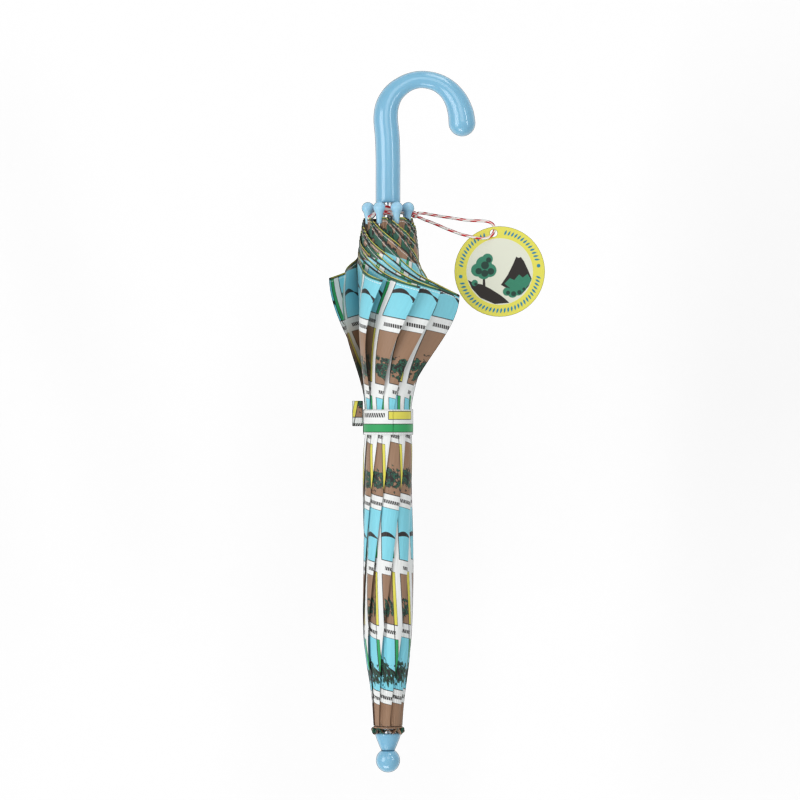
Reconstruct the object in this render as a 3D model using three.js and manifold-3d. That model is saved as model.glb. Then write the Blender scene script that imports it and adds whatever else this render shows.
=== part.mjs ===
// A child's stick umbrella, furled and strapped, lying on its side: crook handle, steel shaft,
// eight hinged ribs with stretchers, a sliding runner, a canopy of eight folded gores and a swing tag.
// Millimetres. +Y runs along the shaft from the crown to the handle, +Z is up, the floor is z = 0,
// and the origin is on the floor under the middle of the closing strap.
import * as THREE from 'three';
import { mergeVertices } from 'three/addons/utils/BufferGeometryUtils.js';
import Module from 'manifold-3d';

const wasm = await Module();
wasm.setup();

// Stations along the shaft are distances from the crown, where the ribs hinge.
const gap = 0.3; // between pieces that touch
const shaftRadius = 4;
const shaftWall = 0.8;
const ribCount = 8;
const firstRibAngle = 22.5; // degrees from +X towards +Z
const ribLength = 417;
const ribRadius = 1.2;
const ribHingeRadius = 7.4;
const ribKneeStation = 300; // where a closed rib starts to spring outwards
const ribKneeRadius = 12.2;
const tipCircleRadius = 17.2;
const tipCircleSettle = 1.2; // the lowest ribs are pressed in by this much, and the top ones stand out
const tipBallRadius = 4.8;
const eyeRadius = 1.9;
const pivotStation = 180; // where a stretcher joins its rib
const pivotRadius = 8.3;
const stretcherLength = 195;
const stretcherRadius = 0.9;
const stretcherOffset = 2.4; // a stretcher lies beside its rib
const stretcherEndRadius = 7;
const runnerHubRadius = 6;
const runnerFlangeRadius = 9.2;
const runnerLength = 32;
const openRibAngle = 75; // how far a rib swings out, degrees
const catchAngle = 62; // both spring catches, round the shaft, clear of the stretchers
const catchWidth = 2.4;
const catchRise = 1.1;
const catchLength = 9;
const handleClearance = 8.6; // from the rib ends to the handle's lower end
const runnerClearance = 50.6; // from a closed stretcher's runner end to the handle's lower end
const handleStation = Math.max(
  ribLength + handleClearance,
  pivotStation + stretcherLength + runnerClearance,
);
const handleRadius = 9.9;
const handleBoreDepth = 44;
const strapStation = 246;
const strapWidth = 20.4;
const strapRadius = 20.5;
const axisHeight = strapRadius - 0.7; // shaft axis above the floor, with the strap pressed flat under it
const strapThickness = 0.8;
const clothThickness = 0.9; // each layer of the folded gores, as a plain solid
const bodyRadius = strapRadius - 0.2; // furled canopy between the crown and the strap
const hemRadius = 26.4; // furled canopy round the rib tips
const earReach = 57; // the most that a folded hem corner stands out and is still lifted
const earDroop = 0.25; // share by which the upper corners sink towards the shaft
const earFrom = 258; // the corners spread from here
const hemStation = 409;
const foldAtCrown = 75; // how far a fold is wound past its own rib, degrees
const foldAtEar = 202.5;
// Each gore's hem corner: how much further its fold is wound, how far it stands out, and its station.
const corners = [
  { slip: 42, reach: 46, station: 367 },
  { slip: 42, reach: 49, station: 364 },
  { slip: 4, reach: 40, station: 356 },
  { slip: 0, reach: 50, station: 352 },
  { slip: 0, reach: 59, station: 350 },
  { slip: 7, reach: 55, station: 354 },
  { slip: 28, reach: 57, station: 356 },
  { slip: 41, reach: 57, station: 361 },
];
const clothFrom = -2.8; // the cloth starts just past the crown
const rosetteFrom = -5; // the crown rosette's station, radius and thickness
const rosetteRadius = 12.6;
const rosetteWave = 0.7;
const rosetteThickness = 3.6;
const patchRadius = 11.8;
const ferruleFrom = -9;
const ferruleBaseRadius = 10.2;
const ferruleWaistRadius = 5.2;
const ferruleBallRadius = 9.7;
const tagRadius = 37.1;
const tagThickness = 1.2;
const tagHoleRadius = 3.3;
const tagProp = 2.4; // the twine under the tag's hole lifts that edge
const twineRadius = 1;
const knotRadius = 2.4;
const tabLength = 8.4; // the strap's folded end
const tabThickness = 1.2;
const tabTilt = 12;

const shared = {
  steel: { color: 0xb9bdc2, roughness: 0.3, metalness: 1 },
  blue: { color: 0x8fc3dc, roughness: 0.18, metalness: 0 },
  paleBlue: { color: 0xa9cfe2, roughness: 0.4, metalness: 0 },
  cloth: { color: 0x6fc8d8, roughness: 0.8, metalness: 0 },
  lining: { color: 0xd9dcd8, roughness: 0.85, metalness: 0 },
  webbing: { color: 0xe8e8e2, roughness: 0.85, metalness: 0 },
  cotton: { color: 0xd8232a, roughness: 0.9, metalness: 0 },
  card: { color: 0xddd455, roughness: 0.6, metalness: 0 },
};

const umbrella = new THREE.Group();
umbrella.position.set(0, -strapStation, axisHeight);

// Adds one named piece to a group.
function addPiece(parent, name, geometry, material) {
  const mesh = new THREE.Mesh(geometry, new THREE.MeshStandardMaterial(shared[material]));
  mesh.name = name;
  parent.add(mesh);
  return mesh;
}

const radians = THREE.MathUtils.degToRad;
const mix = THREE.MathUtils.lerp;
const smooth = THREE.MathUtils.smoothstep;

// A value read off [station, value] pairs, with straight lines between them.
function along(pairs, station) {
  const next = pairs.findIndex(([at]) => at >= station);
  if (next === 0) return pairs[0][1];
  if (next < 0) return pairs[pairs.length - 1][1];
  const [[fromAt, from], [toAt, to]] = [pairs[next - 1], pairs[next]];
  return mix(from, to, (station - fromAt) / (toAt - fromAt));
}

function positionsOnly(geometry) {
  const bare = geometry.clone();
  bare.deleteAttribute('normal');
  bare.deleteAttribute('uv');
  return mergeVertices(bare, 1e-4);
}

function toSolid(geometry) {
  const merged = positionsOnly(geometry);
  return new wasm.Manifold(
    new wasm.Mesh({
      numProp: 3,
      vertProperties: merged.attributes.position.array,
      triVerts: new Uint32Array(merged.index.array),
    }),
  );
}

function toGeometry(solid) {
  const found = solid.getMesh();
  const geometry = new THREE.BufferGeometry();
  geometry.setAttribute('position', new THREE.BufferAttribute(found.vertProperties, 3));
  geometry.setIndex(new THREE.BufferAttribute(found.triVerts, 1));
  geometry.computeVertexNormals();
  return geometry;
}

// Joins every geometry after the first to it, then takes the cutters away.
function combine(joined, cutters = []) {
  let solid = toSolid(joined[0]);
  for (const extra of joined.slice(1)) solid = solid.add(toSolid(extra));
  for (const cutter of cutters) solid = solid.subtract(toSolid(cutter));
  return toGeometry(solid);
}

function lathe(profile, sides) {
  return new THREE.LatheGeometry(profile.map(([r, y]) => new THREE.Vector2(r, y)), sides);
}

// A ring of rectangular section round the shaft.
function collar(inner, outer, from, to, sides) {
  return lathe([[inner, from], [outer, from], [outer, to], [inner, to], [inner, from]], sides);
}

// A disc whose axis is the tangent, for eyes, lugs and pins.
function disc(radius, thickness, x, y, z, sides = 10) {
  const made = new THREE.CylinderGeometry(radius, radius, thickness, sides);
  made.rotateX(Math.PI / 2);
  made.translate(x, y, z);
  return made;
}

function box(sizeX, sizeY, sizeZ, x, y, z) {
  const made = new THREE.BoxGeometry(sizeX, sizeY, sizeZ);
  made.translate(x, y, z);
  return made;
}

// A closed skin through rings of points, each ring with the same number of points, ends capped.
function skin(rings) {
  const count = rings[0].length;
  const points = rings.flat();
  const faces = [];
  for (let i = 0; i + 1 < rings.length; i += 1) {
    for (let j = 0; j < count; j += 1) {
      const a = i * count + j;
      const b = i * count + ((j + 1) % count);
      // The facets of the inner side lie parallel to the outer ones.
      if (2 * j < count) faces.push(a, b, a + count, b, b + count, a + count);
      else faces.push(a, b, b + count, a, b + count, a + count);
    }
  }
  const last = (rings.length - 1) * count;
  for (let j = 0; j + 1 < count / 2; j += 1) {
    const across = count - 1 - j;
    faces.push(j, across, j + 1, j + 1, across, across - 1);
    faces.push(last + j, last + j + 1, last + across, last + j + 1, last + across - 1, last + across);
  }
  const geometry = new THREE.BufferGeometry().setFromPoints(points);
  geometry.setIndex(faces);
  return facingOut(geometry);
}

function facingOut(geometry) {
  const at = geometry.attributes.position;
  const [a, b, c] = [new THREE.Vector3(), new THREE.Vector3(), new THREE.Vector3()];
  const order = geometry.index.array;
  let volume = 0;
  for (let i = 0; i < order.length; i += 3) {
    a.fromBufferAttribute(at, order[i]);
    b.fromBufferAttribute(at, order[i + 1]);
    c.fromBufferAttribute(at, order[i + 2]);
    volume += a.dot(b.cross(c));
  }
  if (volume < 0) {
    for (let i = 0; i < order.length; i += 3) [order[i + 1], order[i + 2]] = [order[i + 2], order[i + 1]];
  }
  geometry.computeVertexNormals();
  return geometry;
}

// A round bar through a list of points, with its own radius at each one.
function bar(points, radii, sides) {
  const curve = points.map((p) => new THREE.Vector3(...p));
  const radiusAt = (i) => (Array.isArray(radii) ? radii[i] : radii);
  let side = new THREE.Vector3(0.13, 0.05, 1);
  const rings = curve.map((point, i) => {
    const before = curve[Math.max(i - 1, 0)];
    const after = curve[Math.min(i + 1, curve.length - 1)];
    const ahead = after.clone().sub(before).normalize();
    side = side.clone().addScaledVector(ahead, -side.dot(ahead)).normalize();
    const up = ahead.clone().cross(side);
    return Array.from({ length: sides }, (_, j) => {
      const turn = (2 * Math.PI * (j + 0.5)) / sides;
      return point
        .clone()
        .addScaledVector(side, radiusAt(i) * Math.cos(turn))
        .addScaledVector(up, radiusAt(i) * Math.sin(turn));
    });
  });
  return skin(rings);
}

// Shaft: an open steel tube with a slot for each spring catch.
const shaftFrom = -15;
const shaftTo = handleStation + handleBoreDepth - 2;
const closedRunnerStation = pivotStation + stretcherLength;
const reach = ribHingeRadius - stretcherEndRadius;
const openAngle = radians(openRibAngle);
const pivotOut = (pivotRadius - ribHingeRadius) * Math.cos(openAngle) + pivotStation * Math.sin(openAngle);
const pivotDown = pivotStation * Math.cos(openAngle) - (pivotRadius - ribHingeRadius) * Math.sin(openAngle);
const stretcherSpan = Math.hypot(stretcherLength, pivotRadius - stretcherEndRadius);
const openRunnerStation = pivotDown + Math.sqrt(stretcherSpan ** 2 - (pivotOut + reach) ** 2);
const flangeHalf = 3;
const topCatchStation = openRunnerStation + runnerLength + gap + catchLength / 2;
const bottomCatchStation = closedRunnerStation - flangeHalf - gap - catchLength / 2;

function atCatch(geometry) {
  return geometry.rotateY(-radians(catchAngle));
}

function addShaft() {
  const tube = collar(shaftRadius - shaftWall, shaftRadius, shaftFrom, shaftTo, 24);
  const slots = [topCatchStation, bottomCatchStation].map((station) =>
    atCatch(box(4, catchLength + 2 * gap, catchWidth + 2 * gap, shaftRadius, station, 0)),
  );
  addPiece(umbrella, 'shaft', combine([tube], slots), 'steel');
}

// A wedge that stands up behind the runner: sheer towards it, and sloping away from it.
function addCatch(name, station, sheerSide) {
  const outline = new THREE.Shape();
  const half = catchLength / 2;
  outline.moveTo(1.6, -half);
  outline.lineTo(1.6, half);
  outline.lineTo(shaftRadius + (sheerSide > 0 ? catchRise : 0), half);
  outline.lineTo(shaftRadius + catchRise, half * (sheerSide > 0 ? 0.5 : -0.5));
  outline.lineTo(shaftRadius + (sheerSide > 0 ? 0 : catchRise), -half);
  outline.closePath();
  const wedge = new THREE.ExtrudeGeometry(outline, { depth: catchWidth, bevelEnabled: false });
  wedge.translate(0, station, -catchWidth / 2);
  addPiece(umbrella, name, atCatch(wedge), 'steel');
}

// Top notch: the ring that the ribs hinge in, with its wire. The crown's other pieces follow.
function addCrown() {
  const notchHalf = 3;
  const notchRadius = ribHingeRadius + eyeRadius + 0.1;
  const wireRadius = 0.5;
  const slots = [];
  for (let k = 0; k < ribCount; k += 1) {
    const slot = box(8, 4 * notchHalf, 2 + 2 * gap, ribHingeRadius - eyeRadius - gap + 4, 0, 0);
    slots.push(slot.rotateY(-radians(ribAngle(k))));
  }
  const wire = (radius) => {
    const ring = new THREE.TorusGeometry(ribHingeRadius, radius, 5, 24);
    return ring.rotateX(Math.PI / 2);
  };
  const notch = collar(shaftRadius + gap, notchRadius, -notchHalf, notchHalf, 24);
  addPiece(umbrella, 'top_notch', combine([notch], [...slots, wire(wireRadius + gap)]), 'steel');
  addPiece(umbrella, 'notch_wire', wire(wireRadius), 'steel');
  const patch = collar(shaftRadius + gap, patchRadius, rosetteFrom + 0.4, clothFrom - 0.7, 24);
  addPiece(umbrella, 'crown_patch', patch, 'cloth');

  // Rosette: a disc of cloth gathered into a wavy rim.
  const waves = 9;
  const rim = [];
  for (let i = 0; i < 4 * waves; i += 1) {
    const turn = (i / (4 * waves)) * 2 * Math.PI;
    const radius = rosetteRadius + rosetteWave * Math.cos(waves * turn);
    rim.push(new THREE.Vector2(radius * Math.cos(turn), radius * Math.sin(turn)));
  }
  const rosette = new THREE.ExtrudeGeometry(new THREE.Shape(rim), {
    depth: rosetteThickness,
    bevelEnabled: false,
  });
  rosette.rotateX(Math.PI / 2);
  rosette.translate(0, rosetteFrom, 0);
  const bore = new THREE.CylinderGeometry(shaftRadius + gap, shaftRadius + gap, 30, 24);
  addPiece(umbrella, 'crown_rosette', combine([rosette], [bore]), 'cloth');
}

// Ferrule: a cone, a waist and a ball in one moulding, with a blind bore for the shaft's end.
function addFerrule() {
  const base = ferruleFrom;
  const waistStation = base - 14;
  const ballStation = base - 22.4;
  const profile = [
    [shaftRadius + gap, base],
    [ferruleBaseRadius, base],
    [ferruleBaseRadius - 0.6, base - 3.4],
    [ferruleWaistRadius + 1, base - 11.5],
    [ferruleWaistRadius, waistStation],
  ];
  for (let i = 0; i <= 9; i += 1) {
    const turn = mix(55, -90, i / 9);
    profile.push([
      ferruleBallRadius * Math.cos(radians(turn)),
      ballStation + ferruleBallRadius * Math.sin(radians(turn)),
    ]);
  }
  profile[profile.length - 1][0] = 0;
  profile.push([0, shaftFrom - gap], [shaftRadius + gap, shaftFrom - gap], [shaftRadius + gap, base]);
  addPiece(umbrella, 'ferrule', facingOut(positionsOnly(lathe(profile, 24))), 'blue');
}

function ribAngle(k) {
  return firstRibAngle + (360 / ribCount) * k;
}

// Runner: a sleeve with a slotted flange for the stretchers and a groove that passes the catches.
function addRunner() {
  const at = closedRunnerStation;
  const hub = collar(shaftRadius + gap, runnerHubRadius, at - flangeHalf, at + runnerLength, 24);
  const flange = collar(shaftRadius + 0.6, runnerFlangeRadius, at - flangeHalf, at + flangeHalf, 24);
  const grip = lathe(
    [
      [5, at + runnerLength - 9], [6, at + runnerLength - 9], [7.6, at + runnerLength - 4],
      [7.6, at + runnerLength - 1], [7, at + runnerLength], [5, at + runnerLength],
      [5, at + runnerLength - 9],
    ],
    24,
  );
  const cuts = [];
  const slotWidth = 2 * (stretcherRadius + gap);
  for (let k = 0; k < ribCount; k += 1) {
    const slot = box(8, 4 * flangeHalf, slotWidth, runnerHubRadius + 4.1, at, stretcherOffset);
    cuts.push(slot.rotateY(-radians(ribAngle(k))));
  }
  const channelDepth = catchRise + gap;
  const channel = box(4, 2 * runnerLength + 20, catchWidth + 2 * gap, shaftRadius + channelDepth - 2, at, 0);
  cuts.push(atCatch(channel));
  const wireStation = at + 1.9;
  const grooveRadius = runnerFlangeRadius;
  const ring = (tube) => {
    const made = new THREE.TorusGeometry(grooveRadius, tube, 5, 24);
    made.rotateX(Math.PI / 2);
    return made.translate(0, wireStation, 0);
  };
  const runner = combine([hub, flange, grip], [...cuts, ring(0.4 + gap)]);
  addPiece(umbrella, 'runner', runner, 'paleBlue');
  addPiece(umbrella, 'runner_wire', ring(0.4), 'steel');
}

function ribCentre(station, tipRadius) {
  return along([[0, ribHingeRadius], [ribKneeStation, ribKneeRadius], [ribLength, tipRadius]], station);
}

// One rib with its ball tip and its stretcher, in a group turned so that +X points outwards.
function addRib(k) {
  const group = new THREE.Group();
  group.rotation.y = -radians(ribAngle(k));
  umbrella.add(group);
  const tipRadius = tipCircleRadius + tipCircleSettle * Math.sin(radians(ribAngle(k)));
  const centre = (station) => ribCentre(station, tipRadius);
  const rod = bar([0.6, pivotStation, ribKneeStation, ribLength].map((y) => [centre(y), y, 0]), ribRadius, 8);
  const hingeEye = disc(eyeRadius, 2, ribHingeRadius, 0, 0);
  const lug = disc(eyeRadius, 2 * ribRadius, pivotRadius, pivotStation, 0);
  const holes = [disc(0.8, 8, ribHingeRadius, 0, 0, 8), disc(0.9, 8, pivotRadius, pivotStation, 0, 8)];
  addPiece(group, `rib_${k + 1}`, combine([rod, hingeEye, lug], holes), 'steel');

  const lean = Math.atan2(tipRadius - ribKneeRadius, ribLength - ribKneeStation);
  const tipHolder = new THREE.Group();
  tipHolder.position.set(centre(ribLength), ribLength, 0);
  tipHolder.rotation.z = -lean;
  group.add(tipHolder);
  const boreRadius = ribRadius + gap;
  const ballStation = 4;
  const profile = [[boreRadius, -9], [2.2, -9], [2.5, -5], [2.9, -1.5]];
  for (let i = 0; i <= 5; i += 1) {
    const turn = mix(-42, 90, i / 5);
    profile.push([
      tipBallRadius * Math.cos(radians(turn)),
      ballStation + tipBallRadius * Math.sin(radians(turn)),
    ]);
  }
  profile[profile.length - 1][0] = 0;
  profile.push([0, gap], [boreRadius, gap], [boreRadius, -9]);
  const tip = facingOut(positionsOnly(lathe(profile, 10)));
  addPiece(tipHolder, `rib_tip_${k + 1}`, tip, 'paleBlue');

  const z = stretcherOffset;
  const strut = bar(
    [
      [pivotRadius, pivotStation, z],
      [stretcherEndRadius, closedRunnerStation, z],
      [stretcherEndRadius, closedRunnerStation + 0.5, z],
    ],
    [stretcherRadius, stretcherRadius, stretcherRadius * 0.6],
    8,
  );
  const eye = disc(eyeRadius - 0.2, 1, pivotRadius, pivotStation, z);
  const pinFrom = z;
  const pinTo = -ribRadius - gap;
  const pin = disc(0.6, pinFrom - pinTo, pivotRadius, pivotStation, (pinFrom + pinTo) / 2, 8);
  const head = disc(1.2, 0.6, pivotRadius, pivotStation, pinTo - 0.25, 8);
  addPiece(group, `stretcher_${k + 1}`, combine([strut, eye, pin, head]), 'steel');
}

// How far the furled canopy reaches at a station, away from the hem's corners.
function canopyRadius(station) {
  return along(
    [
      [-3, 12], [18, 13.2], [34, 15.4], [50, 18.6], [66, bodyRadius], [226, bodyRadius - 0.2],
      [strapStation - strapWidth / 2, strapRadius - strapThickness - gap],
      [strapStation + strapWidth / 2, strapRadius - strapThickness - gap],
      [276, bodyRadius], [330, 24], [370, hemRadius], [hemStation, hemRadius],
    ],
    station,
  );
}

// Where gore k's fold lies round the shaft: it is wound back from its rib, further towards the hem.
function foldAngle(k, station) {
  const corner = corners[k % ribCount];
  const share = Math.min(station / corner.station, 1);
  return ribAngle(k) - mix(foldAtCrown, foldAtEar + corner.slip, share);
}

// Lays a point on the floor when it would sink through it, keeping the order of the layers.
function settled(angle, radius, station, depth) {
  const underStrap = Math.abs(station - strapStation) < strapWidth / 2 + 1;
  const floor = underStrap ? strapThickness + gap : 0;
  const x = radius * Math.cos(radians(angle));
  const z = radius * Math.sin(radians(angle));
  const spread = Math.min(Math.max(radius - hemRadius, 0) / (earReach - hemRadius), 1);
  const eased = z > 0 ? z * (1 - earDroop * spread) : z;
  return new THREE.Vector3(x, station, Math.max(eased, -axisHeight + floor + depth));
}

// The part of one folded gore that shows, from its own fold to the fold that covers it: the outer
// layer, whose corner stands out at the hem, and the layer under it, which runs on round the rib tips.
function addGore(k) {
  const columns = 3;
  const corner = corners[k];
  const layer = (name, stations, depth, reachesOut, material) => {
    const rings = stations.map((station) => {
      const radius = canopyRadius(station) - depth;
      const ear = reachesOut ? smooth(station, earFrom, corner.station) * (corner.reach - radius) : 0;
      const margin = THREE.MathUtils.radToDeg(gap / radius);
      const outer = [];
      const inner = [];
      for (let j = 0; j <= columns; j += 1) {
        const share = j / columns;
        const angle = mix(foldAngle(k + 1, station) - margin, foldAngle(k, station) + margin, share);
        const out = radius + ear * share ** 2;
        const overCorner = station > earFrom && j === 0; // the neighbour's corner lies under this edge
        const lifted = depth + (overCorner ? clothThickness + gap : 0);
        outer.push(settled(angle, out, station, lifted));
        inner.push(settled(angle, out - clothThickness, station, lifted + clothThickness));
      }
      return [...outer, ...inner.reverse()];
    });
    addPiece(umbrella, name, skin(rings), material);
  };
  const neighbour = corners[(k + 1) % ribCount].station;
  const body = [clothFrom, 34, 50, 66, 130, 200, 226, 235, 257, 276, 296, 315, 335];
  const ends = [corner.station, neighbour].sort((a, b) => a - b);
  const outerStations = [...body, ...ends.filter((station) => station <= corner.station)];
  const innerStations = [...body, ...ends, hemStation];
  layer(`gore_${k + 1}_outer`, outerStations, 0, true, 'cloth');
  layer(`gore_${k + 1}_inner`, innerStations, clothThickness + gap, false, 'lining');
}

// Closing strap: arcs of webbing hinged end to end, from the sewn end to the loose end's tab.
function addStrap() {
  const arcs = [
    ['strap_sewn', 187, 230],
    ['strap_under', 231, 345],
    ['strap_side', 346, 437],
    ['strap_over', 438, 528],
  ];
  for (const [name, from, to] of arcs) {
    const steps = Math.ceil((to - from) / 7.6);
    const rings = [];
    for (let i = 0; i <= steps; i += 1) {
      const angle = mix(from, to, i / steps);
      const ends = [strapStation - strapWidth / 2, strapStation + strapWidth / 2];
      const point = (radius, station, depth) => {
        const x = radius * Math.cos(radians(angle));
        const z = radius * Math.sin(radians(angle));
        return new THREE.Vector3(x, station, Math.max(z, -axisHeight + depth));
      };
      const inner = strapRadius - strapThickness;
      rings.push([
        point(strapRadius, ends[0], 0), point(strapRadius, ends[1], 0),
        point(inner, ends[1], strapThickness), point(inner, ends[0], strapThickness),
      ]);
    }
    addPiece(umbrella, name, skin(rings), 'webbing');
  }
  const tab = box(tabLength, strapWidth, tabThickness, 0, 0, 0);
  tab.rotateY(radians(tabTilt));
  tab.translate(-strapRadius - tabLength / 2 - 0.4, strapStation + 7, 3.2);
  addPiece(umbrella, 'strap_tab', tab, 'webbing');
}

// Handle: a crook that thins over the top of the bend and ends in a round knob.
function addHandle() {
  const path = [
    [0, 0, 9.1], [0, 0.9, handleRadius], [0, 18, handleRadius], [0, 36, handleRadius],
    [-0.6, 54, handleRadius], [-1.9, 69.5, 9.8], [-0.4, 80.5, 9.3], [4.8, 90.2, 8.3], [13.4, 97.2, 7.3],
    [22, 100.6, 6.9], [30.6, 101.1, 6.9], [40.6, 98.6, 7.3], [49.6, 92.6, 8.2], [56, 83.8, 9.4],
    [59.6, 73.8, 10.4], [60.7, 65.6, 10.8],
  ];
  const [endX, endY, endRadius] = path[path.length - 1];
  for (const turn of [18, 36, 54, 70, 84]) {
    const fall = endRadius * Math.sin(radians(turn));
    path.push([endX + 0.02 * fall, endY - fall, endRadius * Math.cos(radians(turn))]);
  }
  const crook = bar(
    path.map(([x, y]) => [x, handleStation + y, 0]),
    path.map(([, , radius]) => radius),
    20,
  );
  const bore = new THREE.CylinderGeometry(shaftRadius + gap, shaftRadius + gap, 2 * handleBoreDepth, 24);
  bore.translate(0, handleStation, 0);
  addPiece(umbrella, 'handle', combine([crook], [bore]), 'blue');
}

// Twine: two turns round the shaft, out between two tips to a knot, then one loop down to the
// floor, through the tag's hole and back.
const knot = [21.2, handleStation - 9.6, 0];
const tagHole = [87, handleStation - 24];
const tagCentre = [92, handleStation - 55.6];
const floor = -axisHeight;
// The loop's [x, distance below the handle, depth below the axis]; 18.8 deep is on the floor.
const floorDepth = 18.8;
const twineLoop = [
  [23.9, 11, 1.6], [26.6, 12, 4.6], [29.2, 13, 9], [32.2, 14, 13.4], [36.2, 15.3, 16.8],
  [41, 17.2, 18.5], [47.6, 20.1, 18.75], [55, 23, 18.5], [62, 25.4, 16.7], [67.5, 26.8, 15],
  [74, 28.1, 14.75], [80, 28.3, 14.75], [83.6, 27.2, 14.75], [86, 25.2, 15.6], [87.2, 23.2, 17.2],
  [87.6, 20.7, 18.6], [87, 17.6, 18.78], [84.3, 15.2, 18.8], [79.6, 14, 18.8], [72, 13.7, 18.8],
  [64, 13.2, 18.8], [56, 12, 18.8], [48, 10.8, 18.6], [41, 9.8, 17.2], [35.6, 9, 13.8],
  [31.4, 8.4, 9.2], [28, 8.2, 4.6], [24.6, 8.2, 1],
];
const twinePoints = twineLoop.map(([x, below, depth]) => [
  x,
  handleStation - below,
  (-depth / floorDepth) * (axisHeight - twineRadius),
]);

function addTwine() {
  const inner = shaftRadius + gap;
  const turns = collar(inner, inner + 2 * twineRadius, handleStation - 8, handleStation - 2.4, 20);
  const stub = bar([[5.4, handleStation - 6.6, 0], [12, handleStation - 8, 0], knot], twineRadius, 8);
  const ball = new THREE.SphereGeometry(knotRadius, 10, 8);
  ball.translate(...knot);
  addPiece(umbrella, 'twine_knot', combine([turns, stub, ball]), 'cotton');
  const route = new THREE.CatmullRomCurve3(twinePoints.map((p) => new THREE.Vector3(...p)));
  const section = new THREE.Shape();
  for (let i = 0; i < 8; i += 1) {
    const turn = (i / 8) * 2 * Math.PI;
    const [x, y] = [twineRadius * Math.cos(turn), twineRadius * Math.sin(turn)];
    if (i === 0) section.moveTo(x, y);
    else section.lineTo(x, y);
  }
  section.closePath();
  const tube = new THREE.ExtrudeGeometry(section, { steps: 46, bevelEnabled: false, extrudePath: route });
  addPiece(umbrella, 'twine', tube, 'cotton');
}

// Tag: a round card lying on the floor, propped on the twine at its hole.
function addTag() {
  const outline = new THREE.Shape();
  outline.absarc(0, 0, tagRadius, 0, 2 * Math.PI, false);
  const hole = new THREE.Path();
  hole.absarc(tagHole[0] - tagCentre[0], tagHole[1] - tagCentre[1], tagHoleRadius, 0, 2 * Math.PI, true);
  outline.holes.push(hole);
  const tag = new THREE.ExtrudeGeometry(outline, {
    depth: tagThickness,
    bevelEnabled: false,
    curveSegments: 24,
  });
  const mesh = addPiece(umbrella, 'tag', tag, 'card');
  const tilt = Math.atan2(tagProp, tagRadius + tagHole[1] - tagCentre[1]);
  mesh.rotation.x = tilt;
  mesh.position.set(tagCentre[0], tagCentre[1], floor + 0.02 + tagRadius * Math.sin(tilt));
}

addShaft();
addCatch('top_catch', topCatchStation, -1);
addCatch('bottom_catch', bottomCatchStation, 1);
addCrown();
addFerrule();
addRunner();
for (let k = 0; k < ribCount; k += 1) addRib(k);
for (let k = 0; k < ribCount; k += 1) addGore(k);
addStrap();
addHandle();
addTwine();
addTag();

export default umbrella;
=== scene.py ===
import math
import bpy
import numpy as np
from mathutils import Matrix, Vector


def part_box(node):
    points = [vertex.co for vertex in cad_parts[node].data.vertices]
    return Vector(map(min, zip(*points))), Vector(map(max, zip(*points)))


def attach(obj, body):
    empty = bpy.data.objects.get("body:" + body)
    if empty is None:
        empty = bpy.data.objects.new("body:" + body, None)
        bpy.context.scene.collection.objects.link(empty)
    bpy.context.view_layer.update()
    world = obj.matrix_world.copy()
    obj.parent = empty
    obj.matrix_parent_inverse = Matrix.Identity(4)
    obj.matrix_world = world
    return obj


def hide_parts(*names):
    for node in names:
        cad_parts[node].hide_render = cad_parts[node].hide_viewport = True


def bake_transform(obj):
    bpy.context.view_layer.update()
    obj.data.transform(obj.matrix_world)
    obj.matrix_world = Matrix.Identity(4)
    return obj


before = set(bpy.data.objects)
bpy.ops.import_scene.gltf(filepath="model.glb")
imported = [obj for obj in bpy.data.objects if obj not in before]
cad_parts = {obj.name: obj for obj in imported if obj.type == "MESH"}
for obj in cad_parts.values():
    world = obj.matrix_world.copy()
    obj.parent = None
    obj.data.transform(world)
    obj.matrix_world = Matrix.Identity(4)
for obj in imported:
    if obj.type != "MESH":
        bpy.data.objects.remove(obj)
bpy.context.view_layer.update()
mm = 0.001

# Stations are millimetres along the shaft from the crown, where the ribs hinge.
# x and z are millimetres from the shaft's axis.
strapStation = 246
ribLine = {"length": 417, "hinge": 7.4, "knee": 300, "kneeRadius": 12.2, "tip": 17.2, "settle": 1.2}
notchLow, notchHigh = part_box("top_notch")
crownY = (notchLow.y + notchHigh.y) / 2
axisZ = (notchLow.z + notchHigh.z) / 2
axisHeight = axisZ / mm


def place(points):
    points = np.asarray(points, float)
    return points * mm + np.array([0, crownY, axisZ])


def linear(hexText):
    channels = [int(hexText[i : i + 2], 16) / 255 for i in (1, 3, 5)]
    return tuple(c / 12.92 if c <= 0.04045 else ((c + 0.055) / 1.055) ** 2.4 for c in channels) + (1,)


def smoothStep(value, low, high):
    t = np.clip((np.asarray(value, float) - low) / (high - low), 0, 1)
    return t * t * (3 - 2 * t)


# Camera, straight above, with a long lens.
camera = {"x": 9.84, "y": 18.04, "width": 656, "lens": 180, "sensor": 36}
cameraData = bpy.data.cameras.new("camera")
cameraData.lens = camera["lens"]
cameraData.sensor_width = camera["sensor"]
cameraObject = bpy.data.objects.new("camera", cameraData)
bpy.context.scene.collection.objects.link(cameraObject)
cameraDistance = camera["width"] * camera["lens"] / camera["sensor"]
cameraObject.location = Vector((camera["x"], camera["y"], axisHeight + cameraDistance)) * mm
bpy.context.scene.camera = cameraObject
print("camera made")


def addNode(tree, kind, settings=None, links=None):
    made = tree.nodes.new("ShaderNode" + kind)
    for key, value in (settings or {}).items():
        if isinstance(key, int) or key in made.inputs:
            made.inputs[key].default_value = value
        else:
            setattr(made, key, value)
    for key, value in (links or {}).items():
        if isinstance(value, (int, float)):
            made.inputs[key].default_value = value
        else:
            tree.links.new(value, made.inputs[key])
    return made


# Runs a table of steps, each [result, operation, inputs], where an input is a number or an earlier result.
def addSums(tree, known, sums):
    for result, operation, *inputs in sums:
        links = {i: known.get(part, part) for i, part in enumerate(inputs)}
        known[result] = addNode(tree, "Math", {"operation": operation}, links).outputs[0]


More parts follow.
